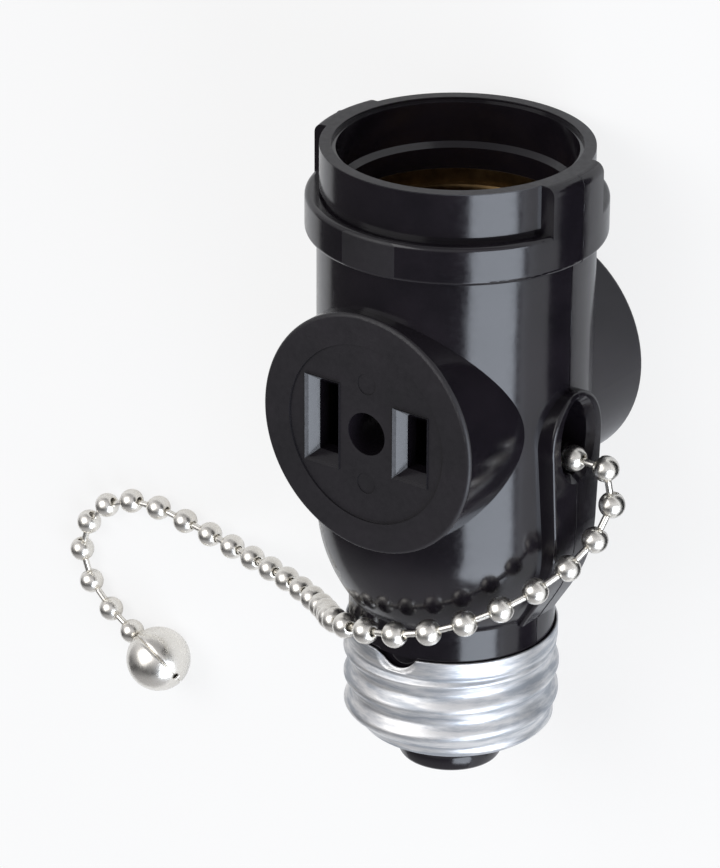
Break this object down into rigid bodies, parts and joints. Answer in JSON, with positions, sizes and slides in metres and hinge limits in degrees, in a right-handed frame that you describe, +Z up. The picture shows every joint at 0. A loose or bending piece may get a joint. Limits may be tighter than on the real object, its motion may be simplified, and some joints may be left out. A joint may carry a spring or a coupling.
{
  "type": "pull-chain socket adapter",
  "caption": "Black moulded adapter with a screw base, a lamp socket, a plug outlet on each side and a pull-chain switch with a bead chain and a bell.",
  "frame": {"origin": "on the surface that the adapter lies on, under the middle of its length from the contact at the screw base to the lamp collar's rim, the chain left out", "axes": "+Y along the adapter from the screw base to the lamp collar, +Z up out of the front outlet, +X towards the chain guide"},
  "size_m": [0.0976, 0.0955, 0.0356],
  "materials": {
    "black_phenolic": "moulded black phenolic, satin to glossy",
    "aluminium_shell": "rolled sheet, dull bright",
    "brass_contacts": "stamped strip, bare",
    "plated_steel": "zinc plated",
    "red_fibre": "vulcanised fibre, matt",
    "nickel_plate": "nickel plated, bright"
  },
  "bodies": {
    "housing": {"front_body_half": "black_phenolic", "rear_body_half": "black_phenolic", "base_screw_shell": "aluminium_shell", "base_insulator": "black_phenolic", "base_center_contact": "brass_contacts", "lamp_screw_shell": "brass_contacts", "lamp_insulating_disc": "red_fibre", "lamp_center_contact": "brass_contacts", "line_outlet_contact": "brass_contacts", "neutral_outlet_contact": "brass_contacts", "neutral_strap": "brass_contacts", "line_strap": "brass_contacts", "switch_line_blade": "brass_contacts", "switch_lamp_blade": "brass_contacts", "tie_rivet": "plated_steel", "switch_shaft": "plated_steel", "lever_return_spring": "plated_steel"},
    "lever": {"pull_lever": "plated_steel", "drive_pawl": "plated_steel"},
    "rotor": {"ratchet_wheel": "plated_steel", "switch_drum": "red_fibre", "rotor_contact": "brass_contacts"},
    "chain": {"pull_chain_beads": "nickel_plate", "pull_chain_links": "nickel_plate", "bell_upper_half": "nickel_plate", "bell_lower_half": "nickel_plate"}
  },
  "joints": [
    {"name": "lever_swing", "type": "hinge", "parent": "housing", "child": "lever", "pos_m": [0.0035, -0.01183, 0.0178], "axis": [0, 0, -1], "range_deg": [0, 45], "stiffness_Nm_per_rad": 0.02, "springref_deg": -22.92, "deforming": ["lever_return_spring"]},
    {"name": "rotor_turn", "type": "hinge", "parent": "housing", "child": "rotor", "pos_m": [0.0035, -0.01183, 0.0178], "axis": [0, 0, -1], "range_deg": [0, 45]},
    {"name": "chain_pull", "type": "slide", "parent": "housing", "child": "chain", "axis": [0.8829, 0.4695, 0], "range_m": [0, 0.00727], "deforming": ["pull_chain_beads", "pull_chain_links"]}
  ],
  "couplings": [
    {"joint": "lever_swing", "follows": "chain_pull", "rad_per_m": 108.02},
    {"joint": "rotor_turn", "follows": "chain_pull", "rad_per_m": 108.02}
  ]
}
